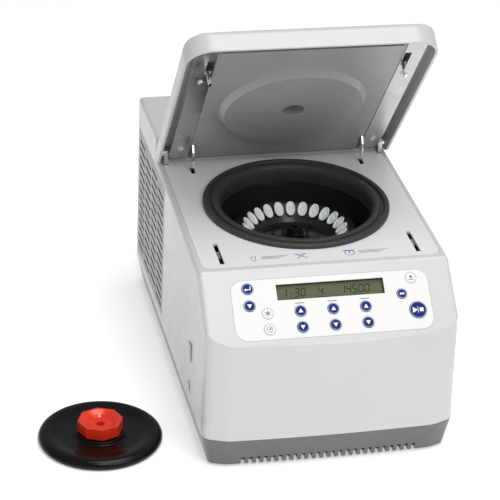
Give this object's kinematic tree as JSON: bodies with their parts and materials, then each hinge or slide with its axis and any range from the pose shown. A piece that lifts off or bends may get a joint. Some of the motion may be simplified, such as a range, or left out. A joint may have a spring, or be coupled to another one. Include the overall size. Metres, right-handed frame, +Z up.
{
  "type": "microcentrifuge",
  "caption": "Refrigerated bench microcentrifuge with raised hinged lid, angled tube rotor in a sealed chamber, sloped keypad with display, side vents and a loose rotor lid.",
  "frame": {"origin": "on the bench plane under the middle of the case, 3.5 mm below the pan's flat underside", "axes": "+X to the user's right, +Y to the back of the case, +Z up"},
  "size_m": [0.464, 0.4829, 0.4583],
  "materials": {
    "case_white": "smooth moulded, satin gloss",
    "deck_white": "smooth satin",
    "base_grey": "moulded satin grey",
    "vent_white": "powder coated sheet",
    "foil_white": "fine grained keypad foil",
    "key_blue": "printed blue with white symbols",
    "key_white": "printed white with grey outline",
    "bezel_black": "matt black",
    "display_olive": "reflective liquid crystal panel",
    "board_green": "solder mask",
    "seal_black": "moulded rubber",
    "foot_black": "moulded rubber",
    "chamber_black": "gloss black coated steel",
    "foam_grey": "closed cell foam",
    "copper_tube": "drawn copper tube",
    "motor_paint": "baked enamel",
    "stator_iron": "laminated iron and windings",
    "plain_steel": "ground steel",
    "rotor_black": "black anodised",
    "tube_clear": "translucent polypropylene",
    "lid_white": "smooth moulded, satin gloss",
    "liner_grey": "moulded satin grey",
    "rail_steel": "brushed stainless steel",
    "bright_steel": "bright plated",
    "smoke_glass": "smoked",
    "compressor_black": "gloss enamel",
    "fin_aluminium": "rolled fins",
    "fan_black": "moulded",
    "back_grey": "powder coated sheet",
    "inlet_black": "moulded",
    "lid_black": "gloss black anodised",
    "knob_red": "red anodised"
  },
  "bodies": {
    "case": {"upper_housing": "case_white", "side_vent_grilles": "vent_white", "deck_plate": "deck_white", "base_tray": "base_grey", "rubber_feet": "foot_black", "keypad_foil": "foil_white", "display_bezel": "bezel_black", "display_glass": "display_olive", "control_board": "board_green", "chamber_gasket": "seal_black", "rotor_chamber": "chamber_black", "chamber_insulation": "foam_grey", "cooling_coil": "copper_tube", "motor_housing": "motor_paint", "motor_stator": "stator_iron", "shaft_bearings": "plain_steel", "motor_dampers": "foot_black", "hinge_lugs": "plain_steel", "hinge_springs": "bright_steel", "lock_units": "inlet_black", "compressor": "compressor_black", "condenser": "fin_aluminium", "fan_shroud": "fan_black", "power_supply": "board_green", "rear_panel": "back_grey", "case_screws": "plain_steel", "mains_inlet": "inlet_black", "switch_frame": "inlet_black", "side_fittings": "case_white"},
    "lid": {"lid_shell": "lid_white", "lid_liner": "liner_grey", "lid_rails": "rail_steel", "rail_fasteners": "bright_steel", "lid_strikers": "bright_steel", "lid_arms": "bright_steel", "hinge_pins": "bright_steel", "sight_glass": "smoke_glass"},
    "spinning_rotor": {"rotor": "rotor_black", "sample_tubes": "tube_clear", "rotor_nut": "plain_steel", "drive_shaft": "plain_steel"},
    "fan": {"fan_wheel": "fan_black"},
    "rocker": {"power_rocker": "inlet_black"},
    "left_pawl": {"left_lock_pawl": "plain_steel"},
    "right_pawl": {"right_lock_pawl": "plain_steel"},
    "rotor_cover": {"rotor_lid": "lid_black"},
    "cover_knob": {"rotor_lid_knob": "knob_red"},
    "menu_key": {"menu_key": "key_blue"},
    "menu_down_key": {"menu_down_key": "key_blue"},
    "fast_cool_key": {"fast_cool_key": "key_white"},
    "fan_key": {"fan_key": "key_white"},
    "time_up_key": {"time_up_key": "key_blue"},
    "time_down_key": {"time_down_key": "key_blue"},
    "temperature_up_key": {"temperature_up_key": "key_blue"},
    "temperature_down_key": {"temperature_down_key": "key_blue"},
    "speed_up_key": {"speed_up_key": "key_blue"},
    "speed_down_key": {"speed_down_key": "key_blue"},
    "open_key": {"open_key": "key_white"},
    "short_run_key": {"short_run_key": "key_blue"},
    "start_stop_key": {"start_stop_key": "key_blue"}
  },
  "joints": [
    {"name": "lid_hinge", "type": "hinge", "parent": "case", "child": "lid", "pos_m": [0, 0.098, 0.24415], "axis": [-1, 0, 0], "range_deg": [-51.7, 20]},
    {"name": "rotor_spin", "type": "hinge", "parent": "case", "child": "spinning_rotor", "pos_m": [0, -0.028, 0.19], "axis": [0, 0, 1], "continuous": true},
    {"name": "fan_spin", "type": "hinge", "parent": "case", "child": "fan", "pos_m": [0, 0.22, 0.186], "axis": [0, 1, 0], "continuous": true},
    {"name": "power_rocker_tilt", "type": "hinge", "parent": "case", "child": "rocker", "pos_m": [0.05, 0.2406, 0.072], "axis": [1, 0, 0], "range_deg": [-10, 0]},
    {"name": "left_lock", "type": "hinge", "parent": "case", "child": "left_pawl", "pos_m": [-0.1126, -0.128, 0.19181], "axis": [1, 0, 0], "range_deg": [-15, 0]},
    {"name": "right_lock", "type": "hinge", "parent": "case", "child": "right_pawl", "pos_m": [0.1126, -0.128, 0.19181], "axis": [1, 0, 0], "range_deg": [-15, 0]},
    {"name": "rotor_lid_lift", "type": "slide", "parent": "case", "child": "rotor_cover", "axis": [0, 0, 1], "range_m": [0, 0.12]},
    {"name": "rotor_lid_knob_turn", "type": "hinge", "parent": "rotor_cover", "child": "cover_knob", "pos_m": [-0.248, -0.148, 0.02], "axis": [0, 0, 1], "continuous": true},
    {"name": "menu_press", "type": "slide", "parent": "case", "child": "menu_key", "axis": [0, 0.6854, -0.7282], "range_m": [0, 0.0006], "stiffness_N_per_m": 300},
    {"name": "menu_down_press", "type": "slide", "parent": "case", "child": "menu_down_key", "axis": [0, 0.6854, -0.7282], "range_m": [0, 0.0006], "stiffness_N_per_m": 300},
    {"name": "fast_cool_press", "type": "slide", "parent": "case", "child": "fast_cool_key", "axis": [0, 0.6854, -0.7282], "range_m": [0, 0.0006], "stiffness_N_per_m": 300},
    {"name": "fan_press", "type": "slide", "parent": "case", "child": "fan_key", "axis": [0, 0.6854, -0.7282], "range_m": [0, 0.0006], "stiffness_N_per_m": 300},
    {"name": "time_up_press", "type": "slide", "parent": "case", "child": "time_up_key", "axis": [0, 0.6854, -0.7282], "range_m": [0, 0.0006], "stiffness_N_per_m": 300},
    {"name": "time_down_press", "type": "slide", "parent": "case", "child": "time_down_key", "axis": [0, 0.6854, -0.7282], "range_m": [0, 0.0006], "stiffness_N_per_m": 300},
    {"name": "temperature_up_press", "type": "slide", "parent": "case", "child": "temperature_up_key", "axis": [0, 0.6854, -0.7282], "range_m": [0, 0.0006], "stiffness_N_per_m": 300},
    {"name": "temperature_down_press", "type": "slide", "parent": "case", "child": "temperature_down_key", "axis": [0, 0.6854, -0.7282], "range_m": [0, 0.0006], "stiffness_N_per_m": 300},
    {"name": "speed_up_press", "type": "slide", "parent": "case", "child": "speed_up_key", "axis": [0, 0.6854, -0.7282], "range_m": [0, 0.0006], "stiffness_N_per_m": 300},
    {"name": "speed_down_press", "type": "slide", "parent": "case", "child": "speed_down_key", "axis": [0, 0.6854, -0.7282], "range_m": [0, 0.0006], "stiffness_N_per_m": 300},
    {"name": "open_press", "type": "slide", "parent": "case", "child": "open_key", "axis": [0, 0.6854, -0.7282], "range_m": [0, 0.0006], "stiffness_N_per_m": 300},
    {"name": "short_run_press", "type": "slide", "parent": "case", "child": "short_run_key", "axis": [0, 0.6854, -0.7282], "range_m": [0, 0.0006], "stiffness_N_per_m": 300},
    {"name": "start_stop_press", "type": "slide", "parent": "case", "child": "start_stop_key", "axis": [0, 0.6854, -0.7282], "range_m": [0, 0.0006], "stiffness_N_per_m": 300}
  ],
  "couplings": [
    {"joint": "right_lock", "follows": "left_lock", "ratio": 1}
  ]
}
